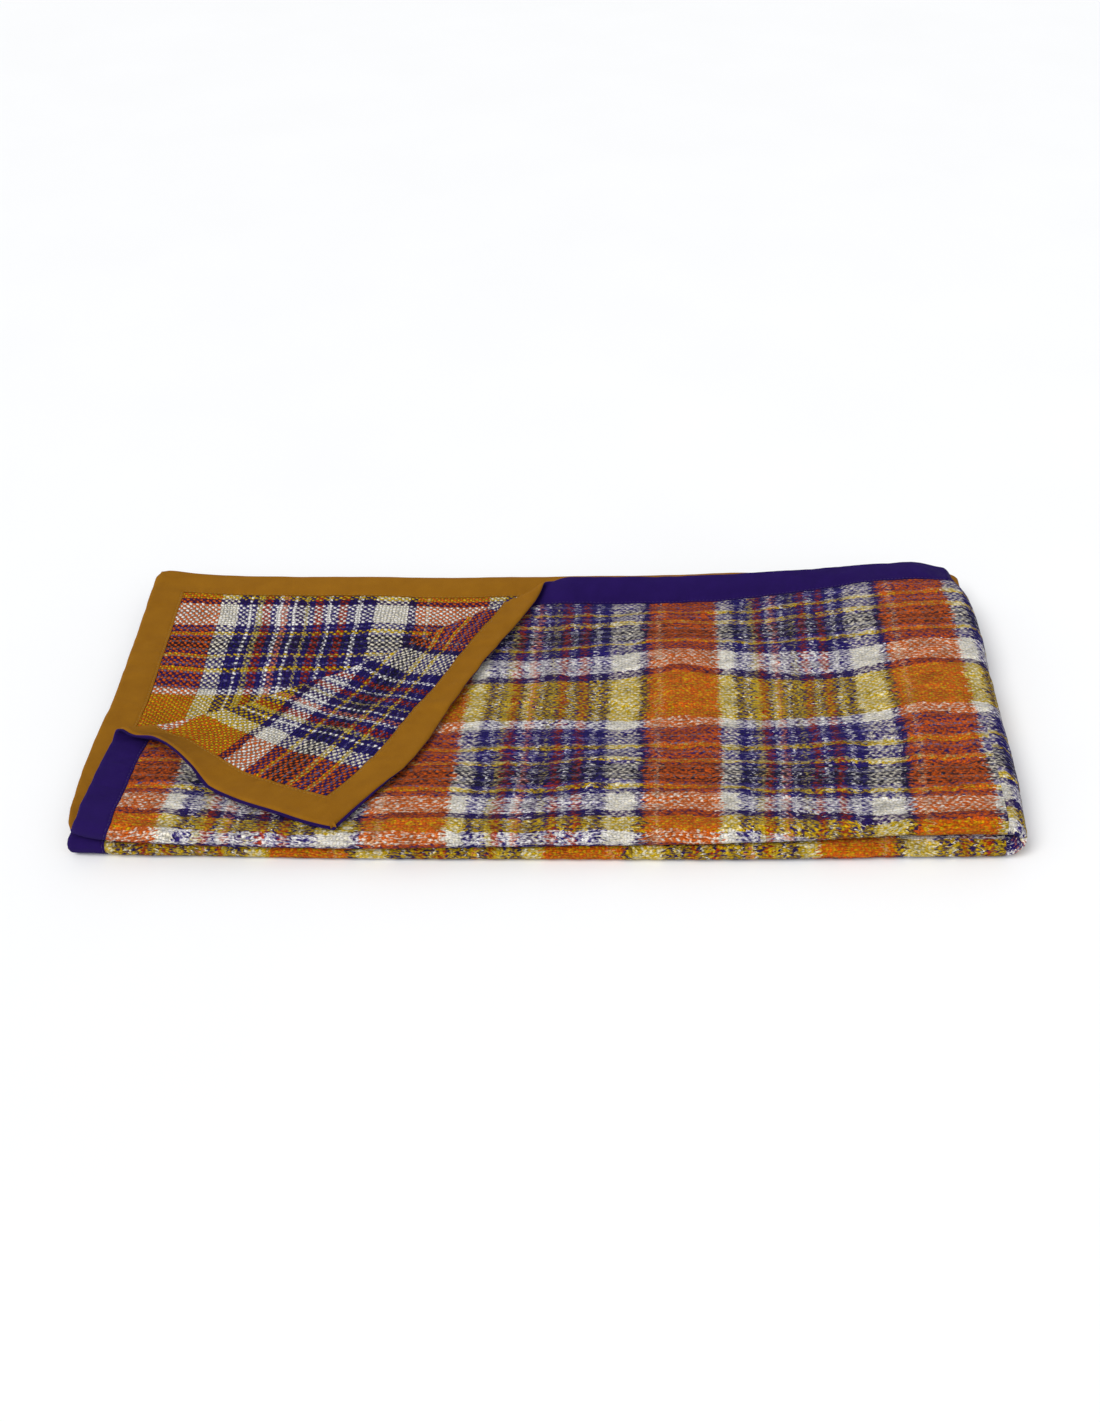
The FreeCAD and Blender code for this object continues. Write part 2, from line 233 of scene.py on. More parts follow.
def look(tab, u, v):
    """Smooth lookup in a (U_TAB, V_GRID) table."""
    fu = np.clip((np.asarray(u, float) - U_TAB[0]) / 4.0, 0, len(U_TAB) - 1.001)
    iu = np.floor(fu).astype(int)
    fu = fu - iu
    v = np.clip(np.asarray(v, float), V_GRID[0], V_GRID[-1] - 1e-6)
    iv = np.clip(np.searchsorted(V_GRID, v, side="right") - 1, 0, len(V_GRID) - 2)
    fv = (v - V_GRID[iv]) / (V_GRID[iv + 1] - V_GRID[iv])
    return ((tab[iu, iv] * (1 - fv) + tab[iu, iv + 1] * fv) * (1 - fu)
            + (tab[iu + 1, iv] * (1 - fv) + tab[iu + 1, iv + 1] * fv) * fu)


# ---- the turned corner
A_X, A_Y = 12.0, 139.0
TH = math.atan2(334.0, 508.0)
DC = (math.cos(TH), math.sin(TH))
NC = (-math.sin(TH), math.cos(TH))
S_END = 568.0


def crease_offset(s):
    t = np.clip(s / S_END, 0, 1)
    return (-9.0 - 17.0 * np.sin(math.pi * t) ** 0.8 + 1.5 * np.sin(s / 31.0)
            + 15.0 * np.exp(-(np.maximum(s, 0) / 48.0) ** 2))


def crease_radius(s):
    return (4.8 + 4.6 * np.exp(-(np.maximum(s, 0) / 44.0) ** 2)
            + 0.8 * np.exp(-((s - S_END) / 60.0) ** 2))


def upper(u, v):
    """Mid-surface of the upper half. Returns points and the share of turn
    of the turned corner (0 on the layer, 1 on the corner)."""
    u = np.asarray(u, float)
    v = np.asarray(v, float)
    v_r = front_roll_start(u)
    ru = r_up(u)
    arc = math.pi * ru
    yc = upper_front_centre(u)
    zu = z_upper_u(u)
    x = x_of(u, v)
    # layers and the roll between them
    phi = np.clip((v - v_r) / ru, 0, math.pi)
    on_t = v <= v_r
    on_s = v >= v_r + arc
    yr = yc - ru * np.sin(phi)
    zr = zu + ru + ru * np.cos(phi)
    y = np.where(on_t, look(YT, u, v), np.where(on_s, look(YS, u, v), yr))
    z = np.where(on_t, look(ZT, u, v), np.where(on_s, look(ZS, u, v), zr))
    # blunt bound corner of the second layer
    blunt = 5.0 * np.exp(-((u ** 2 + (WIDTH - v) ** 2) / 130.0))
    x = x + blunt
    y = y - blunt * on_s
    # turned corner
    px, py = u + 12.0, 452.0 - v
    s = (px - A_X) * DC[0] + (py - A_Y) * DC[1]
    d = (px - A_X) * NC[0] + (py - A_Y) * NC[1]
    c = crease_offset(s)
    R = crease_radius(s)
    t = d - c
    turned = (t > 0) & on_t
    al = np.clip(t / R, 0, math.pi)
    past = np.maximum(t - math.pi * R, 0)
    perp = c + R * np.sin(al) - past + (-9.0 - c) * step(past, 0, 190)
    fx = A_X + s * DC[0] + perp * NC[0]
    fy = A_Y + s * DC[1] + perp * NC[1]
    # soft outward curves of the two bound edges
    eL = (13.0 * np.sin(math.pi * np.clip(v / 235.0, 0, 1)) * np.exp(-u / 120.0)
          - 14.0 * np.sin(math.pi * np.clip((v - 165.0) / 120.0, 0, 1)) * np.exp(-u / 38.0))
    eR = (17.0 * np.exp(-((u - 112.0) / 78.0) ** 2) - 3.0 * bump(u, 330, 80)) * np.exp(-v / 120.0)
    w = step(past, 0, 40)
    c2, s2 = math.cos(2 * TH), math.sin(2 * TH)
    fx = fx + w * (eL * (-c2) + eR * s2)
    fy = fy + w * (eL * (-s2) + eR * (-c2))
    # the tip lies a little nearer the left and further in
    near = np.exp(-((u + v) / 190.0) ** 1.5)
    fx = fx - 15.0 * near * w
    fy = fy + 7.0 * near * w
    # height: over whatever part of T lies beneath
    bu = np.clip(fx - 12.0, 0, 1005)
    bv = np.clip(452.0 - fy, 0, None)
    vr2 = front_roll_start(bu)
    base = look(ZT, bu, np.minimum(bv, vr2))
    yc2 = upper_front_centre(bu)
    ro = r_up(bu) + 8.0
    under = np.clip(yc2 - fy, 0, ro * 0.97)
    base = base - (ro - np.sqrt(ro ** 2 - under ** 2))
    gap = 8.6
    lift = (np.where(past <= 0, R * (1 - np.cos(al)),
                     gap + (2 * R - gap) * (1 - step(past, 0, 60))))
    lift = lift + w * 7.0 * np.exp(-u / 20.0) * bump(v, 212, 46)
    lift = lift + w * (1.5 * np.sin(past / 26.0 + s / 70.0) ** 2 * bump(past, 90, 80)
                       + 1.2 * fbm(u / 60.0, v / 60.0, 51, 2)
                       + (5.5 + 2.2 * np.sin(v / 33.0)) * np.exp(-u / 24.0) * step(v, 10, 90) * (1 - step(v, 260, 330))
                       + (3.4 + 1.6 * np.sin(u / 47.0 + 1.0)) * np.exp(-v / 26.0) * step(u, 20, 110))
    # the roll starts exactly on the layer it leaves
    s0x, s0y = A_X + s * DC[0] + c * NC[0], A_Y + s * DC[1] + c * NC[1]
    cu, cv = np.clip(s0x - 12.0, -4, 1005), np.clip(452.0 - s0y, 0, WIDTH)
    zc = look(ZT, cu, np.minimum(cv, front_roll_start(cu)))
    mix = step(past, 0, 25)
    fz = zc * (1 - mix) + base * mix + lift
    hold = 1 - step(past, 0, 150)
    fx = fx + hold * (x_of(cu, cv) - s0x)
    fy = fy + hold * (look(YT, cu, cv) - s0y)
    x = np.where(turned, fx, x)
    y = np.where(turned, fy, y)
    z = np.where(turned, fz, z)
    share = np.where(turned, np.clip(al / math.pi, 0, 1), 0.0)
    return np.stack([x, y, z], -1), share


def lower(u, v):
    """Mid-surface of the lower half; u is measured back from the fold, as the
    place it would have on the upper half, v as on the upper half."""
    u = np.asarray(u, float)
    v = np.asarray(v, float)
    x = u + 12.0
    rl = r_low(x)
    yc = lower_front_centre(x)
    v_r = front_roll_start(u)
    arc = math.pi * rl
    phi = np.clip((v - v_r) / rl, 0, math.pi)
    zw = 3.6 + 0 * u
    y_w = yc + (v_r - v)
    z_v = 3.6 + 2 * rl + (6.0 * step(u, 600, 960)) * step(v - v_r, 20, 250)
    over = 1.0 * (yc - 11.0)
    y_v = yc + (v - v_r - arc) - np.maximum(over, 0) * step(v - v_r - arc, 8, 300) - 3.0 * step(v, 700, WIDTH)
    yr = yc - rl * np.sin(phi)
    zr = 3.6 + rl - rl * np.cos(phi)
    on_w = v <= v_r
    on_v = v >= v_r + arc
    y = np.where(on_w, y_w, np.where(on_v, y_v, yr))
    z = np.where(on_w, zw, np.where(on_v, z_v, zr))
    y = y + 1.0 * vnoise(x / 70.0, v * 0 + 2, 61) * step(np.abs(phi - math.pi / 2), math.pi / 2, 0)
    return np.stack([x, y, z], -1)


def fold(phi, v):
    """Mid-surface of the cloth round the right-hand fold."""
    phi = np.asarray(phi, float)
    v = np.asarray(v, float)
    a, _ = upper(np.full_like(v, U_F), v)
    b = lower(np.full_like(v, U_F), v)
    zc = (a[..., 2] + b[..., 2]) / 2
    r = (a[..., 2] - b[..., 2]) / 2
    yc = (a[..., 1] + b[..., 1]) / 2
    dy = (a[..., 1] - b[..., 1]) / 2
    xs = (a[..., 0] + b[..., 0]) / 2
    dx = (a[..., 0] - b[..., 0]) / 2
    # the inner pair's fold nests out against the inside of the outer one
    reach = np.maximum(r, 19.5) * (1.0 + 0.07 * vnoise(v / 70.0, v * 0, 71))
    x = xs + dx * np.cos(phi) + reach * np.sin(phi)
    y = yc + dy * np.cos(phi)
    z = zc + r * np.cos(phi)
    soft = 1 - step(v, 0, 95)
    x = x - soft * 15.0 * np.sin(phi) ** 2
    z = z - soft * 6.0 * np.sin(phi) * np.clip(np.cos(phi), 0, 1) * 2
    return np.stack([x, y, z], -1)


def to_world(P):
    Q = np.array(P, float)
    Q[..., 0] -= OX
    Q[..., 1] -= OY
    return Q / 1000.0


# Each region: the place of a cloth point, its face direction and its share of
# turn. p runs along the length in the cloth's own direction.
def at_upper(p, v):
    return upper(p, v)[0]


def at_lower(p, v):
    return lower(U_F + (U_F + ARC) - p, v)


def at_fold(p, v):
    return fold((p - U_F) / ARC * math.pi, v)


REGION = {"upper": (at_upper, 0.0, U_F), "lower": (at_lower, U_F + ARC, LENGTH),
          "fold": (at_fold, U_F, U_F + ARC)}


def place(region, p, v):
    fn, lo, hi = REGION[region]
    p = np.asarray(p, float)
    v = np.asarray(v, float)
    e = 1.2
    p0, p1 = np.clip(p - e, lo, hi), np.clip(p + e, lo, hi)
    v0, v1 = np.clip(v - e, 0, WIDTH), np.clip(v + e, 0, WIDTH)
    P = fn(p, v)
    su = (fn(p1, v) - fn(p0, v)) / (p1 - p0)[..., None]
    sv = (fn(p, v1) - fn(p, v0)) / (v1 - v0)[..., None]
    n = -np.cross(su, sv)
    n = n / np.maximum(np.linalg.norm(n, axis=-1, keepdims=True), 1e-9)
    if region == "upper":
        w = upper(p, v)[1]
    elif region == "fold":
        w = np.clip((p - U_F) / ARC, 0, 1)
    else:
        w = np.zeros_like(p)
    return P, n, w


# ---------------------------------------------------------------- meshes
def fill(name, verts, faces, normals, uv, mats, mi):
    verts = np.array(verts, float)
    verts[:, 2] = np.maximum(verts[:, 2], 0.04)
    me = bpy.data.meshes.new(name)
    me.vertices.add(len(verts))
    me.vertices.foreach_set("co", to_world(verts).astype(np.float32).ravel())
    me.loops.add(faces.size)
    me.loops.foreach_set("vertex_index", faces.astype(np.int32).ravel())
    me.polygons.add(len(faces))
    me.polygons.foreach_set("loop_start", np.arange(0, faces.size, 4, dtype=np.int32))
    me.polygons.foreach_set("loop_total", np.full(len(faces), 4, np.int32))
    me.polygons.foreach_set("material_index", mi.astype(np.int32))
    me.polygons.foreach_set("use_smooth", np.ones(len(faces), bool))
    me.update(calc_edges=True)
    for m in mats:
        me.materials.append(m)
    layer = me.uv_layers.new(name="flat")
    layer.data.foreach_set("uv", (uv[faces.ravel()] / 1000.0).astype(np.float32).ravel())
    if normals is not None:
        me.normals_split_custom_set(normals.reshape(-1, 3).tolist())
    obj = bpy.data.objects.new(name, me)
    bpy.context.scene.collection.objects.link(obj)
    return obj


def slab(name, region, p, v, top, bottom, mats, pat=None):
    """Closed sheet from a grid of cloth points, from offset `bottom` to
    offset `top` along the face direction. mats = (face, reverse)."""
    P, N, w = place(region, p, v)
    nu, nv = p.shape
    F = P + N * np.asarray(top)[..., None]
    B = P + N * np.asarray(bottom)[..., None]
    verts = np.concatenate([F.reshape(-1, 3), B.reshape(-1, 3)])
    idx = np.arange(nu * nv).reshape(nu, nv)
    off = nu * nv
    a, b, c, d = idx[:-1, :-1], idx[1:, :-1], idx[1:, 1:], idx[:-1, 1:]
    face = np.stack([a, d, c, b], -1).reshape(-1, 4)
    rev = np.stack([a, b, c, d], -1).reshape(-1, 4) + off
    rim = []
    for e, flip in ((idx[:, 0], 0), (idx[:, -1], 1), (idx[0, :], 1), (idx[-1, :], 0)):
        q = (e[:-1], e[1:]) if not flip else (e[1:], e[:-1])
        rim.append(np.stack([q[0], q[1], q[1] + off, q[0] + off], -1))
    rim = np.concatenate(rim)
    faces = np.concatenate([face, rev, rim])

    def grid_n(G, sign):
        gu, gv = np.gradient(G, axis=0), np.gradient(G, axis=1)
        n = -sign * np.cross(gu, gv)
        return n / np.maximum(np.linalg.norm(n, axis=-1, keepdims=True), 1e-9)

    nf, nb = grid_n(F, 1).reshape(-1, 3), grid_n(B, -1).reshape(-1, 3)
    both = np.concatenate([nf, nb])
    rn = np.cross(verts[rim[:, 1]] - verts[rim[:, 0]], verts[rim[:, 3]] - verts[rim[:, 0]])
    rn = rn / np.maximum(np.linalg.norm(rn, axis=-1, keepdims=True), 1e-9)
    ln = np.concatenate([both[face.ravel()], both[rev.ravel()], np.repeat(rn, 4, axis=0)])
    mi = np.zeros(len(faces), int)
    mi[len(face):len(face) + len(rev)] = len(mats) - 1
    uv = (np.stack([p, v], -1) if pat is None else pat).reshape(-1, 2)
    obj = fill(name, verts, faces, ln, np.concatenate([uv, uv]), mats, mi)
    return obj, np.concatenate([w.ravel(), w.ravel()])


def settle(obj, w, region, nodes):
    """Rides or bends the piece with its bodies, and stands for CAD nodes."""
    if region == "upper" and w.max() > 0.01:
        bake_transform(obj, "upper_half", "turned_corner", (0, 0, 0), (0, 0, 1))
    elif region == "fold":
        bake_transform(obj, "upper_half", "lower_half", (0, 0, 0), (0, 0, 1))
    else:
        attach(obj, "upper_half" if region == "upper" else "lower_half")
    if "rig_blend" in obj:
        obj.data.attributes["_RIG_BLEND"].data.foreach_set("value", w.astype(np.float32))
    if nodes:
        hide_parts(*nodes)
    return obj


# ---------------------------------------------------------------- materials
def srgb(r, g, b):
    out = []
    for c in (r, g, b):
        c = c / 255.0
        out.append(c / 12.92 if c <= 0.04045 else ((c + 0.055) / 1.055) ** 2.4)
    return (*out, 1.0)


def yarn(r, g, b):
    return (r / 255.0, g / 255.0, b / 255.0, 1.0)


ORANGE, RUST = yarn(216, 90, 18), yarn(164, 44, 24)
PINK, YELLOW, CREAM = yarn(214, 120, 96), yarn(214, 172, 14), yarn(250, 240, 214)
WHITE, NAVY = yarn(255, 250, 244), yarn(38, 26, 104)
DARK, BLACKGREEN, LEMON = yarn(46, 26, 84), yarn(30, 26, 48), yarn(206, 184, 104)
PEACH = yarn(232, 170, 120)
PALE = yarn(176, 176, 206)

WARP = [(0, CREAM), (20, NAVY), (33, WHITE), (37, NAVY), (43, LEMON), (50, RUST), (59, NAVY),
        (66, WHITE), (70, PINK), (77, NAVY), (83, WHITE), (87, DARK), (96, LEMON), (100, NAVY),
        (107, RUST), (115, NAVY), (119, WHITE), (123, NAVY), (131, RUST), (139, NAVY), (149, WHITE),
        (153, NAVY), (167, CREAM), (203, DARK), (213, ORANGE), (224, PEACH), (227, ORANGE)]
WEFT_A = [(0, NAVY), (65, YELLOW), (71, NAVY), (88, YELLOW), (94, NAVY), (99, BLACKGREEN),
          (125, NAVY), (130, YELLOW), (136, NAVY), (152, WHITE), (186, DARK), (198, YELLOW),
          (268, WHITE), (283, NAVY), (311, YELLOW), (317, NAVY), (334, YELLOW), (340, NAVY),
          (345, BLACKGREEN), (371, NAVY), (376, YELLOW), (382, NAVY), (390, WHITE),
          (414, DARK), (423, YELLOW), (441, WHITE), (453, NAVY)]
WEFT_B = [(480, NAVY), (560, WHITE), (590, DARK), (598, YELLOW), (722, WHITE), (735, NAVY),
          (763, YELLOW), (769, NAVY), (786, YELLOW), (792, NAVY), (797, BLACKGREEN),
          (823, NAVY), (828, YELLOW), (834, NAVY), (847, WHITE), (885, DARK), (894, YELLOW)]


class Nodes:
    """A material's node tree, with short calls to add to it."""

    def __init__(self, name):
        self.m = bpy.data.materials.new(name)
        self.m.use_nodes = True
        self.t = self.m.node_tree
        self.bsdf = self.t.nodes["Principled BSDF"]

    def put(self, node, i, value):
        if isinstance(value, bpy.types.NodeSocket):
            self.t.links.new(value, node.inputs[i])
        else:
            node.inputs[i].default_value = value

    def math(self, op, a, b=0.0, c=None):
        n = self.t.nodes.new("ShaderNodeMath")
        n.operation = op
        self.put(n, 0, a)
        self.put(n, 1, b)
        if c is not None:
            self.put(n, 2, c)
        return n.outputs[0]

    def flat(self):
        n = self.t.nodes.new("ShaderNodeUVMap")
        n.uv_map = "flat"
        s = self.t.nodes.new("ShaderNodeSeparateXYZ")
        self.t.links.new(n.outputs[0], s.inputs[0])
        return (self.math("MULTIPLY", s.outputs[0], 1000.0),
                self.math("MULTIPLY", s.outputs[1], 1000.0))

    def noise(self, x, y, z=0.0, detail=1.0, rough=0.5):
        c = self.t.nodes.new("ShaderNodeCombineXYZ")
        for i, q in enumerate((x, y, z)):
            self.put(c, i, q)
        n = self.t.nodes.new("ShaderNodeTexNoise")
        self.t.links.new(c.outputs[0], n.inputs["Vector"])
        n.inputs["Scale"].default_value = 1.0
        n.inputs["Detail"].default_value = detail
        n.inputs["Roughness"].default_value = rough
        return n.outputs[0]

    def ramp(self, fac, stops, lo, hi, mode="CONSTANT"):
        n = self.t.nodes.new("ShaderNodeValToRGB")
        r = n.color_ramp
        r.interpolation = mode
        r.elements[0].position, r.elements[1].position = 0.0, 1.0
        r.elements[0].color = stops[0][1]
        r.elements[1].color = stops[-1][1]
        for at, col in stops[1:-1]:
            r.elements.new((at - lo) / (hi - lo)).color = col
        r.elements[-1].position = (stops[-1][0] - lo) / (hi - lo)
        self.put(n, 0, fac)
        return n.outputs[0]

    def mix(self, fac, a, b, kind="MIX"):
        n = self.t.nodes.new("ShaderNodeMix")
        n.data_type = "RGBA"
        n.blend_type = kind
        self.put(n, 0, fac)
        self.put(n, 6, a)
        self.put(n, 7, b)
        return n.outputs[2]

    def bump(self, height, dist, strength=1.0, normal=None):
        n = self.t.nodes.new("ShaderNodeBump")
        n.inputs["Distance"].default_value = dist
        n.inputs["Strength"].default_value = strength
        self.t.links.new(height, n.inputs["Height"])
        if normal is not None:
            self.t.links.new(normal, n.inputs["Normal"])
        return n.outputs[0]

    def out(self, colour, normal, rough=0.95, sheen=0.0, sheen_rough=0.5, spec=0.15):
        self.t.links.new(colour, self.bsdf.inputs["Base Color"])
        self.t.links.new(normal, self.bsdf.inputs["Normal"])
        self.bsdf.inputs["Roughness"].default_value = rough
        self.bsdf.inputs["Specular IOR Level"].default_value = spec
        self.bsdf.inputs["Sheen Weight"].default_value = sheen
        self.bsdf.inputs["Sheen Roughness"].default_value = sheen_rough
        return self.m


def stripes(k, u, v):
    """Warp and weft colours at a place of the flat cloth, and 1 where the
    warp is the thick orange yarn."""
    ph = k.math("FRACT", k.math("DIVIDE", k.math("SUBTRACT", u, 103.0 - 298.0), 298.0))
    warp = k.ramp(ph, WARP, 0, 298)
    a = k.ramp(k.math("DIVIDE", v, 480.0), WEFT_A, 0, 480)
    b = k.ramp(k.math("DIVIDE", k.math("SUBTRACT", v, 480.0), 480.0), WEFT_B, 480, 960)
    weft = k.mix(k.math("GREATER_THAN", v, 480.0), a, b)
    # thin pale picks between the yellow ones of the dark bands
    band = k.math("ADD", k.math("COMPARE", v, 92.5, 50.0),
                  k.math("ADD", k.math("COMPARE", v, 336.5, 52.0), k.math("COMPARE", v, 791.0, 55.0)))
    pick = k.math("LESS_THAN", k.math("FRACT", k.math("DIVIDE", v, 12.9)), 0.27)
    weft = k.mix(k.math("MULTIPLY", k.math("MULTIPLY", band, pick), 0.5), weft, PALE)
    thick = k.math("GREATER_THAN", ph, 212.0 / 298.0)
    return warp, weft, thick


def tone(k, x):
    g = k.t.nodes.new("ShaderNodeCombineColor")
    for i in range(3):
        k.put(g, i, x)
    return g.outputs[0]


def plaid_face(name):
    """Thick plain weave under a nap brushed along the length."""
    k = Nodes(name)
    u, v = k.flat()
    # tufts: short bundles of fibre, about 9 mm by 1.4 mm, that carry colour sideways
    wave = k.noise(k.math("DIVIDE", u, 48.0), k.math("DIVIDE", v, 20.0), 31.0, 1.0, 0.5)
    vw = k.math("MULTIPLY_ADD", k.math("SUBTRACT", wave, 0.5), 15.0, v)
    tuft = k.noise(k.math("DIVIDE", u, 9.0), k.math("DIVIDE", vw, 1.4), 2.0, 2.0, 0.65)
    drift = k.noise(k.math("DIVIDE", u, 17.0), k.math("DIVIDE", vw, 2.2), 9.0, 2.0, 0.6)
    wob = k.noise(k.math("DIVIDE", u, 10.0), k.math("DIVIDE", v, 5.0), 3.0, 2.0, 0.6)
    uu = k.math("ADD", u, k.math("MULTIPLY_ADD", k.math("SUBTRACT", drift, 0.5), 34.0,
                                 k.math("MULTIPLY", k.math("SUBTRACT", tuft, 0.5), 17.0)))
    vv = k.math("MULTIPLY_ADD", k.math("SUBTRACT", wob, 0.5), 9.0,
                k.math("MULTIPLY_ADD", k.math("SUBTRACT", wave, 0.5), 9.0, v))
    warp, weft, thick = stripes(k, uu, vv)
    c = math.pi / 3.8
    su = k.math("SINE", k.math("MULTIPLY", k.math("MULTIPLY_ADD", k.math("SUBTRACT", drift, 0.5), 9.0, u), c))
    sv = k.math("SINE", k.math("MULTIPLY", k.math("MULTIPLY_ADD", k.math("SUBTRACT", wob, 0.5), 3.0, v), c))
    prod = k.math("MULTIPLY", su, sv)
    pick = k.noise(k.math("DIVIDE", u, 8.5), k.math("DIVIDE", vw, 1.9), 21.0, 2.0, 0.7)
    m = k.math("ADD", k.math("MULTIPLY_ADD", prod, 0.40, k.math("MULTIPLY_ADD", thick, 0.27, 0.47)),
               k.math("MULTIPLY", k.math("SUBTRACT", pick, 0.5), 4.6))
    cl = k.t.nodes.new("ShaderNodeClamp")
    k.put(cl, 0, m)
    cl.inputs[1].default_value, cl.inputs[2].default_value = 0.06, 0.94
    col = k.mix(cl.outputs[0], weft, warp)
    gm = k.t.nodes.new("ShaderNodeGamma")
    k.put(gm, 0, col)
    gm.inputs[1].default_value = 2.2
    # painted shade and highlight: the colour is multiplied darker in the hollows between the weave cells and lighter
    # on their crowns, with light fibre tips and larger patches varying it at random
    hair = k.noise(k.math("DIVIDE", u, 6.5), k.math("DIVIDE", vw, 0.75), 13.0, 3.0, 0.7)
    patch = k.noise(k.math("DIVIDE", u, 26.0), k.math("DIVIDE", v, 12.0), 5.0, 2.0)
    h = k.math("SQRT", k.math("ABSOLUTE", prod))
    hollow_shade_and_tone = k.math("ADD", k.math("MULTIPLY_ADD", k.math("SUBTRACT", hair, 0.5), 3.1, 0.69),
                 k.math("MULTIPLY_ADD", h, 0.26, k.math("MULTIPLY", k.math("SUBTRACT", patch, 0.5), 0.9)))
    c2 = k.t.nodes.new("ShaderNodeClamp")
    k.put(c2, 0, hollow_shade_and_tone)
    c2.inputs[1].default_value, c2.inputs[2].default_value = 0.16, 1.35
    col = k.mix(1.0, gm.outputs[0], tone(k, c2.outputs[0]), "MULTIPLY")
    nap = k.math("ADD", k.math("MULTIPLY", h, 0.6), k.math("ADD", tuft, k.math("MULTIPLY", hair, 0.9)))
    return k.out(col, k.bump(nap, 0.0026, 0.95), 1.0, 0.05, 0.5, 0.03)


def plaid_reverse(name):
    """The unbrushed side: rounded yarn cells, still a little hairy."""
    k = Nodes(name)
    u, v = k.flat()
    wob = k.noise(k.math("DIVIDE", u, 6.0), k.math("DIVIDE", v, 6.0), 43.0, 2.0, 0.6)
    fib = k.noise(k.math("DIVIDE", u, 2.2), k.math("DIVIDE", v, 1.6), 40.0, 3.0, 0.7)
    uu = k.math("MULTIPLY_ADD", k.math("SUBTRACT", wob, 0.5), 6.0, u)
    vv = k.math("MULTIPLY_ADD", k.math("SUBTRACT", wob, 0.5), -5.0, v)
    uu = k.math("MULTIPLY_ADD", k.math("SUBTRACT", fib, 0.5), 5.0, uu)
    vv = k.math("MULTIPLY_ADD", k.math("SUBTRACT", fib, 0.5), -3.5, vv)
    warp, weft, thick = stripes(k, uu, vv)
    c = math.pi / 3.8
    su = k.math("SINE", k.math("MULTIPLY", uu, c))
    sv = k.math("SINE", k.math("MULTIPLY", vv, c))
    prod = k.math("MULTIPLY", su, sv)
    m = k.math("ADD", k.math("MULTIPLY_ADD", prod, 1.15, k.math("MULTIPLY_ADD", thick, -0.06, 0.49)),
               k.math("MULTIPLY", k.math("SUBTRACT", fib, 0.5), 2.4))
    cl = k.t.nodes.new("ShaderNodeClamp")
    k.put(cl, 0, m)
    cl.inputs[1].default_value, cl.inputs[2].default_value = 0.04, 0.96
    col = k.mix(cl.outputs[0], weft, warp)
    gm = k.t.nodes.new("ShaderNodeGamma")
    k.put(gm, 0, col)
    gm.inputs[1].default_value = 2.2
    # painted shade and highlight: the colour is multiplied darker in the hollows between the yarn cells and lighter on
    # their crowns, with fibre and patch noise varying it at random
    h = k.math("SQRT", k.math("ABSOLUTE", prod))
    patch = k.noise(k.math("DIVIDE", u, 30.0), k.math("DIVIDE", v, 22.0), 45.0, 2.0)
    hollow_shade_and_tone = k.math("ADD", k.math("MULTIPLY_ADD", h, 0.78, 0.36),
                 k.math("MULTIPLY_ADD", k.math("SUBTRACT", fib, 0.5), 1.8,
                        k.math("MULTIPLY", k.math("SUBTRACT", patch, 0.5), 0.6)))
    c2 = k.t.nodes.new("ShaderNodeClamp")
    k.put(c2, 0, hollow_shade_and_tone)
    c2.inputs[1].default_value, c2.inputs[2].default_value = 0.12, 1.3
    col = k.mix(1.0, gm.outputs[0], tone(k, c2.outputs[0]), "MULTIPLY")
    nap = k.math("ADD", k.math("MULTIPLY", h, 1.5), fib)
    return k.out(col, k.bump(nap, 0.0020, 0.9), 1.0, 0.03, 0.5, 0.04)


def tape_material(name, base, lit):
    k = Nodes(name)
    u, v = k.flat()
    w = k.math("MULTIPLY_ADD", v, 0.62, u)
    rib = k.math("SINE", k.math("MULTIPLY", w, 2 * math.pi / 1.1))
    grain = k.noise(k.math("DIVIDE", u, 1.3), k.math("DIVIDE", v, 1.3), 0.0, 3.0, 0.6)
    wear = k.noise(k.math("DIVIDE", u, 24.0), k.math("DIVIDE", v, 24.0), 4.0, 3.0)
    # painted light and shade: the colour runs from the tape's shaded copy (base) to its lit copy (lit), lighter on the
    # crests of the diagonal ribs and darker in their grooves; the grain and wear noise vary it at random
    f = k.math("MULTIPLY_ADD", rib, 0.16, k.math("MULTIPLY_ADD", grain, 0.5, k.math("MULTIPLY", wear, 0.5)))
    cl = k.t.nodes.new("ShaderNodeClamp")
    k.put(cl, 0, f)
    col = k.mix(cl.outputs[0], base, lit)
    h = k.math("MULTIPLY_ADD", grain, 0.7, k.math("MULTIPLY", rib, 0.5))
    return k.out(col, k.bump(h, 0.0005, 0.8), 0.85, 0.0, 0.4, 0.10)


def thread_material(name, base, lit):
    k = Nodes(name)
    u, v = k.flat()
    tw = k.math("SINE", k.math("MULTIPLY", k.math("ADD", u, v), 2 * math.pi / 0.7))
    # painted light and shade: the colour runs from the thread's shaded copy (base) to its lit copy (lit) along the
    # twist
    col = k.mix(k.math("MULTIPLY_ADD", tw, 0.3, 0.5), base, lit)
    return k.out(col, k.bump(tw, 0.0002, 0.6), 0.7, 0.05, 0.4, 0.3)


FACE, BACK = plaid_face("plaid_brushed_face"), plaid_reverse("plaid_woven_reverse")
# each tape and thread gets a shaded copy and a lit copy of its colour, for the painted light and shade in its shader
INDIGO = tape_material("tape_indigo_ribbed", srgb(26, 10, 66), srgb(46, 22, 104))
MUSTARD = tape_material("tape_mustard_ribbed", srgb(128, 80, 10), srgb(176, 120, 26))
THREAD_I = thread_material("thread_indigo_twist", srgb(30, 16, 66), srgb(66, 44, 120))
THREAD_M = thread_material("thread_mustard_twist", srgb(128, 88, 22), srgb(190, 142, 50))


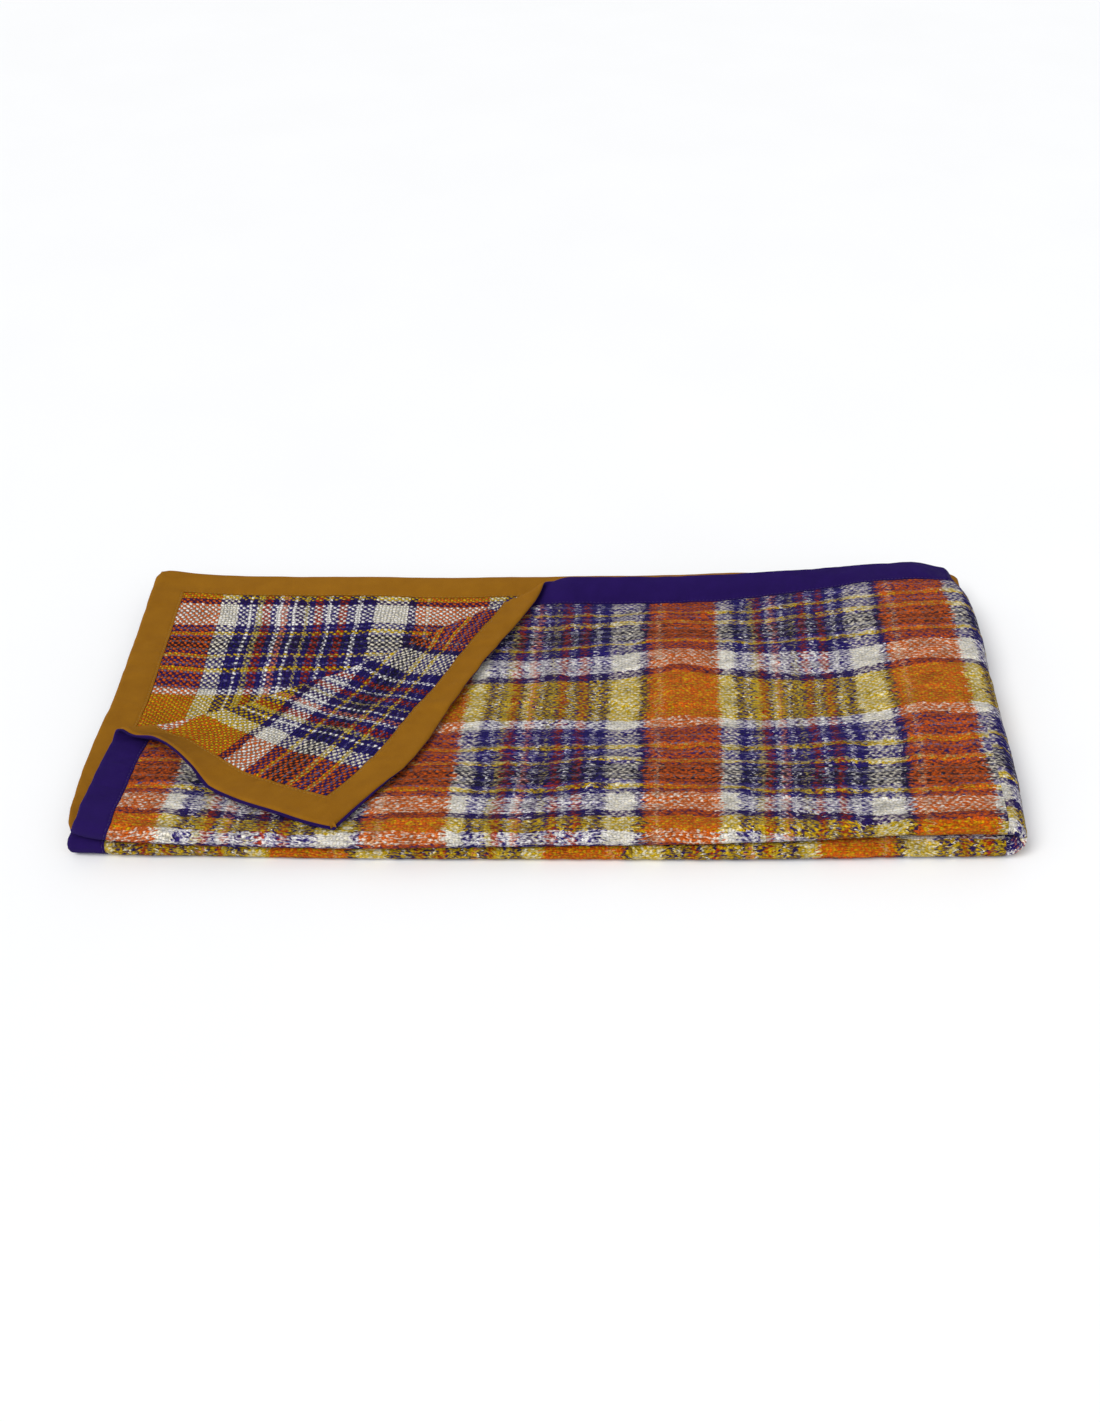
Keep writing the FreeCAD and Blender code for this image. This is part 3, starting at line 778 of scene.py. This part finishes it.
# ---------------------------------------------------------------- cloth
def inset(p, v):
    """Distance from the nearest outer edge of the cloth."""
    return np.minimum(np.minimum(p, LENGTH - p), np.minimum(v, WIDTH - v))


def offsets(p, v, seed):
    e = inset(p, v)
    rise = step(e, 38.5, 44.0)
    lump = 0.45 * fbm(p / 15.0, v / 8.0, seed, 3) + 0.35 * vnoise(p / 5.5, v / 3.6, seed + 9)
    low = 0.35 * fbm(p / 11.0, v / 11.0, seed + 4, 2)
    return 1.0 + rise * (2.55 + lump), -1.0 - rise * (2.4 + low) + 1.3 * (1 - step(e, 4.5, 6.5))


def pattern(region, p, v):
    """Place of a cloth point in the plaid: the weave isn't quite even, and the
    lengthwise yarns wander."""
    pu, pv = p.copy(), v.copy()
    if region == "upper":
        pu = pu + 11.0 * (1 - step(p, 100, 420))
        right = step(p, 640, 950)
        pv = pv - 4.0 * bump(p, 871, 70) * step(v, 30, 230) * (1 - step(v, 330, 430))
        pv = pv + 15.0 * bump(p, 650, 80) * bump(v, 165, 75)
        pv = pv - 18.0 * step(p, 720, 880) * step(v, 300, 400) * (1 - step(v, 470, 600))
    elif region == "fold":
        right = 1.0
    else:
        right = step(LENGTH - p, 640, 950)
    if region == "lower":
        pv = pv - 18.0 - 24.0 * right
    else:
        pv = pv - 20.0 * right * step(v, 30, 230) * (1 - step(v, 500, 640))
        back = step(v, 560, 690)
        pv = pv + np.where(v > 560, np.minimum((904.0 - v) * 0.117, 24.0) * back, 0)
    pv = pv + 3.2 * vnoise(p / 95.0, v / 120.0, 71) + 1.8 * vnoise(p / 31.0, v / 60.0, 73)
    pu = pu + 2.2 * vnoise(p / 90.0, v / 70.0, 75) + 1.2 * vnoise(p / 40.0, v / 24.0, 77)
    return np.stack([pu, pv], -1)


def cloth_piece(name, region, p_axis, v_axis, mats, nodes, seed):
    p, v = np.meshgrid(p_axis, v_axis, indexing="ij")
    top, bottom = offsets(p, v, seed)
    if region == "lower":
        bottom = np.maximum(bottom, -3.4)
    obj, w = slab(name, region, p, v, top, bottom, mats, pattern(region, p, v))
    return settle(obj, w, region, nodes)


def axis_steps(*spans):
    out = []
    for lo, hi, s in spans:
        n = max(1, int(round((hi - lo) / s)))
        out += list(np.linspace(lo, hi, n, endpoint=False))
    return np.array(out + [spans[-1][1]])


SPLIT = 520.0
top_leaf = cloth_piece("cloth_top_leaf", "upper",
                       axis_steps((1.6, 520, 2.6), (520, U_F, 5.4)),
                       axis_steps((1.6, 452, 2.8), (452, 490, 2.0), (490, SPLIT, 4.0)),
                       [FACE, BACK],
                       ["cloth_upper", "cloth_corner", "cloth_crease"], 101)
under_leaf = cloth_piece("cloth_under_leaf", "upper",
                         axis_steps((1.6, 300, 3.6), (300, U_F, 7.0)),
                         axis_steps((SPLIT, WIDTH - 1.6, 3.6)),
                         [FACE, BACK], ["cloth_upper"], 101)
right_fold = cloth_piece("cloth_right_fold", "fold",
                         axis_steps((U_F, U_F + ARC, 2.8)),
                         axis_steps((1.6, 440, 3.2), (440, 500, 2.2), (500, WIDTH - 1.6, 3.4)),
                         [FACE, BACK], ["cloth_fold"], 101)
lower_leaf = cloth_piece("cloth_lower_leaf", "lower",
                         axis_steps((U_F + ARC, LENGTH - 1.6, 5.6)),
                         axis_steps((1.6, 436, 5.6), (436, 500, 2.0), (500, WIDTH - 1.6, 5.6)),
                         [FACE, BACK], ["cloth_lower"], 202)


# ---------------------------------------------------------------- borders
def tape_height(c, l, seed):
    """Height of a tape above the cloth's middle, c from the outer edge and l
    along it."""
    c = np.asarray(c, float)
    round_ = 0.25 + 2.75 * np.sqrt(np.clip(1 - (1 - np.clip(c, 0, 5.0) / 5.0) ** 2, 0, 1))
    crown = 0.35 * np.sin(math.pi * np.clip(c / BW, 0, 1))
    groove = -0.75 * np.exp(-((c - 38.6) / 1.5) ** 2)
    roll = 0.25 * np.exp(-((c - 40.6) / 1.0) ** 2)
    pucker = (0.38 * np.sin(l / 1.9 + 1.6 * vnoise(l / 21.0, l * 0, seed)) * bump(c, 34.5, 4.5)
              + 0.45 * vnoise(l / 13.0, c / 17.0, seed + 1) + 0.3 * vnoise(l / 4.5, c / 26.0, seed + 2))
    return round_ + (crown + groove + roll + pucker) * step(c, 0, 6)


# region, edge, how the strip's ends are cut, and the CAD nodes it stands for
STRIPS = [
    ("end_upper", "upper", "start", (0, WIDTH), (1, 1), ["end_upper", "end_corner"], ["crease_end"]),
    ("side_top", "upper", "back", (0, U_F), (1, 0), ["side_top", "side_corner"], ["crease_side"]),
    ("side_second", "upper", "far", (0, U_F), (1, 0), ["side_second"], []),
    ("fold_outer", "fold", "back", (U_F, U_F + ARC), (0, 0), ["fold_outer"], []),
    ("fold_inner", "fold", "far", (U_F, U_F + ARC), (0, 0), ["fold_inner"], []),
    ("side_bottom", "lower", "back", (U_F + ARC, LENGTH), (0, 1), ["side_bottom"], []),
    ("side_third", "lower", "far", (U_F + ARC, LENGTH), (0, 1), ["side_third"], []),
    ("end_lower", "lower", "finish", (0, WIDTH), (1, 1), ["end_lower"], []),
]


def strip_points(edge, l, c):
    if edge == "start":
        return c, l
    if edge == "finish":
        return LENGTH - c, l
    if edge == "back":
        return l, c
    return l, WIDTH - c


ALL_TAPES, ALL_STITCH = {}, {}
for s_no, (nm, region, edge, (l0, l1), (m0, m1), nodes, crease) in enumerate(STRIPS):
    cc = np.concatenate([[0, 0.35, 0.9, 1.8, 3.0, 4.6], np.linspace(7, 32, 7),
                         [34, 35.6, 37.0, 37.8, 38.6, 39.4, 40.1, BW]])
    fine = 2.6 if region in ("upper", "fold") else 5.0
    n = int((l1 - l0) / fine)
    tau = np.linspace(0, 1, n)
    T, C = np.meshgrid(tau, cc, indexing="ij")
    L = (l0 + C * m0) + T * ((l1 - C * m1) - (l0 + C * m0))
    p, v = strip_points(edge, L, C)
    h = tape_height(C, L, 300 + s_no)
    # grids that run the other way round need their columns turned
    turn = edge in ("start", "far")
    if turn:
        p, v, h = p[::-1], v[::-1], h[::-1]
    for colour, mat, sign, slot_name in (("indigo", INDIGO, 1, "tape_indigo"),
                                         ("mustard", MUSTARD, -1, "tape_mustard")):
        lim = np.clip(h, 0.05, 3.35)
        in_p, in_v = 0 * p, 0 * v
        if sign < 0 and nm == "end_upper":
            in_p = 3.8 * (1 - step(v, 290, 335)) * (1 - p / BW)
        if sign < 0 and nm == "side_top":
            in_v = 3.8 * (1 - step(p, 25, 110)) * (1 - v / BW)
        top, bottom = (lim, 0 * h + 0.02) if sign > 0 else (0 * h - 0.02, -lim)
        # orientation of the grid in the cloth decides which side is up
        du = (p[1:, 1:] - p[:-1, 1:]).mean(), (v[1:, 1:] - v[:-1, 1:]).mean()
        dv = (p[1:, 1:] - p[1:, :-1]).mean(), (v[1:, 1:] - v[1:, :-1]).mean()
        if du[0] * dv[1] - du[1] * dv[0] < 0:
            P_, V_, T_, B_ = (p + in_p)[::-1], (v + in_v)[::-1], top[::-1], bottom[::-1]
        else:
            P_, V_, T_, B_ = p + in_p, v + in_v, top, bottom
        obj, w = slab(f"tape_{colour}_{nm}_cloth", region, P_, V_, T_, B_, [mat])
        owned = [f"tape_{colour}_{x}" for x in nodes]
        if colour == "mustard":
            owned += [f"tape_mustard_{x}" for x in crease]
        settle(obj, w, region, owned)
        ALL_TAPES[(nm, colour)] = obj

    # one stitch every 5 mm, 2.4 mm in from the tape's inner edge
    pitch, half = 5.0, 1.75
    cs = BW - 2.4
    a0, a1 = l0 + cs * m0 + 2, l1 - cs * m1 - 2
    count = int((a1 - a0) / pitch)
    centre = a0 + (np.arange(count) + 0.5) * (a1 - a0) / count
    tt = np.array([-1, -0.62, 0, 0.62, 1]) * half
    sink = np.array([-0.45, 0.15, 0.38, 0.15, -0.45])
    jit = 0.35 * vnoise(centre * 0.9, centre * 0, 500 + s_no)
    Ls = centre[:, None] + tt[None, :]
    Cs = cs + jit[:, None] * np.array([-1, -.5, 0, .5, 1])[None, :]
    ps, vs = strip_points(edge, Ls, Cs)
    hs = np.minimum(tape_height(Cs, Ls, 300 + s_no), 3.35)
    Pm, Nm, wm = place(region, ps, vs)
    tang = np.gradient(Pm, axis=1)
    tang /= np.maximum(np.linalg.norm(tang, axis=-1, keepdims=True), 1e-9)
    for side, sign, mat, slot_name in (("face", 1, THREAD_I, "thread_indigo"),
                                       ("reverse", -1, THREAD_M, "thread_mustard")):
        Nn = Nm * sign
        mid = Pm + Nn * (hs + sink[None, :])[..., None]
        bi = np.cross(tang, Nn)
        rad = np.array([0.18, 0.46, 0.5, 0.46, 0.18])
        ring = []
        for q in range(6):
            an = q * math.pi / 3
            ring.append(mid + (bi * math.cos(an) + Nn * 0.8 * math.sin(an)) * rad[None, :, None])
        R6 = np.stack(ring, 2)                                   # n,5,6,3
        base = np.arange(count * 30).reshape(count, 5, 6)
        q0, q1 = base[:, :-1, :], base[:, 1:, :]
        quads = np.stack([q0, q1, np.roll(q1, -1, 2), np.roll(q0, -1, 2)], -1).reshape(-1, 4)
        e0, e1 = base[:, 0, :], base[:, -1, :]
        caps = np.concatenate([e0[:, [0, 1, 2, 3]], e0[:, [0, 3, 4, 5]],
                               e1[:, [3, 2, 1, 0]], e1[:, [5, 4, 3, 0]]])
        faces = np.concatenate([quads, caps])
        vv_ = R6.reshape(-1, 3)
        uv = np.stack([np.repeat(ps[..., None], 6, 2), np.repeat(vs[..., None], 6, 2)], -1).reshape(-1, 2)
        # faces look outwards
        nrm = np.cross(vv_[faces[0, 1]] - vv_[faces[0, 0]], vv_[faces[0, 2]] - vv_[faces[0, 0]])
        if nrm @ (vv_[faces[0, 0]] - mid.reshape(-1, 3)[0]) < 0:
            faces = faces[:, ::-1]
        obj = fill(f"stitch_{side}_{nm}_rows", vv_, faces, None, uv, [mat], np.zeros(len(faces), int))
        w = np.repeat(wm[..., None], 6, 2).ravel()
        owned = [f"stitch_{side}_{x}" for x in nodes if not x.startswith("fold")]
        settle(obj, w, region, owned)
        ALL_STITCH[(nm, side)] = obj


# ---------------------------------------------------------------- floor
bpy.ops.mesh.primitive_grid_add(x_subdivisions=8, y_subdivisions=8, size=14, location=(0, 2, 0))
floor = bpy.context.object
floor.name = "studio_floor"
kf = Nodes("studio_floor_pale")
tc = kf.t.nodes.new("ShaderNodeTexCoord")
nz = kf.t.nodes.new("ShaderNodeTexNoise")
nz.inputs["Scale"].default_value = 3.0
kf.t.links.new(tc.outputs["Object"], nz.inputs["Vector"])
colf = kf.mix(nz.outputs[0], srgb(246, 246, 245), srgb(250, 250, 249))
kf.t.links.new(colf, kf.bsdf.inputs["Base Color"])
kf.bsdf.inputs["Roughness"].default_value = 0.9
kf.bsdf.inputs["Specular IOR Level"].default_value = 0.1
floor.data.materials.append(kf.m)

# ---------------------------------------------------------------- light
scene = bpy.context.scene
world = scene.world or bpy.data.worlds.new("studio_world")
scene.world = world
world.use_nodes = True
bg = world.node_tree.nodes["Background"]
bg.inputs[0].default_value = (0.93, 0.95, 1.0, 1)
bg.inputs[1].default_value = 0.635


def area(name, loc, target, size, power, colour):
    d = bpy.data.lights.new(name, "AREA")
    d.shape = "RECTANGLE"
    d.size, d.size_y = size
    d.energy = power
    d.color = colour
    o = bpy.data.objects.new(name, d)
    scene.collection.objects.link(o)
    o.location = loc
    v = [t - l for t, l in zip(target, loc)]
    import mathutils
    o.rotation_euler = mathutils.Vector(v).to_track_quat("-Z", "Y").to_euler()
    return o


sun = bpy.data.lights.new("soft_sun", "SUN")
sun.energy = 1.75
sun.angle = math.radians(34)
sun.color = (1.0, 0.99, 0.97)
so = bpy.data.objects.new("soft_sun", sun)
scene.collection.objects.link(so)
so.rotation_euler = (math.radians(20), math.radians(-30), 0)
area("fill_light", (1.2, -1.6, 1.5), (0, 0, 0), (1.8, 1.2), 3.0, (0.97, 0.98, 1.0))

# ---------------------------------------------------------------- camera
cd = bpy.data.cameras.new("camera")
cam = bpy.data.objects.new("camera", cd)
scene.collection.objects.link(cam)
cd.sensor_fit = "AUTO"
cd.sensor_width = 36.0
cd.lens = 32.03
cd.shift_x = -0.0907
cd.dof.use_dof = False
cam.location = (0.1479, -1.1514, 1.0444)
cam.rotation_euler = (math.radians(48.0), 0, 0)
scene.camera = cam
scene.view_settings.view_transform = "Standard"
